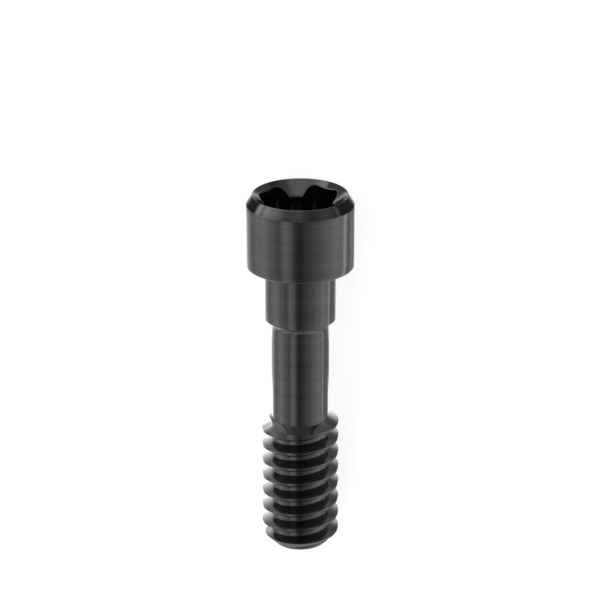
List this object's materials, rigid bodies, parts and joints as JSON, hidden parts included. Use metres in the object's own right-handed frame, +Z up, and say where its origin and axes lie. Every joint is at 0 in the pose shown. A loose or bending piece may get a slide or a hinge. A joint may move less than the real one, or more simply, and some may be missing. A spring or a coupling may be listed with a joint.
{
  "type": "dental abutment screw",
  "caption": "Small black screw that clamps a dental abutment to its implant: cylindrical head with a lobed drive, stepped shank, and a fine right-hand thread at the end.",
  "frame": {"origin": "centre of the part's box, on the surface that the screw lies on", "axes": "+Z up; +X along the screw towards its head, whose end lies about 3 degrees higher"},
  "size_m": [0.0078, 0.0022, 0.0023],
  "materials": {
    "black_coated_titanium": "satin black hard carbon coating on machined titanium alloy"
  },
  "bodies": {
    "root": {"abutment_screw": "black_coated_titanium"}
  },
  "joints": []
}
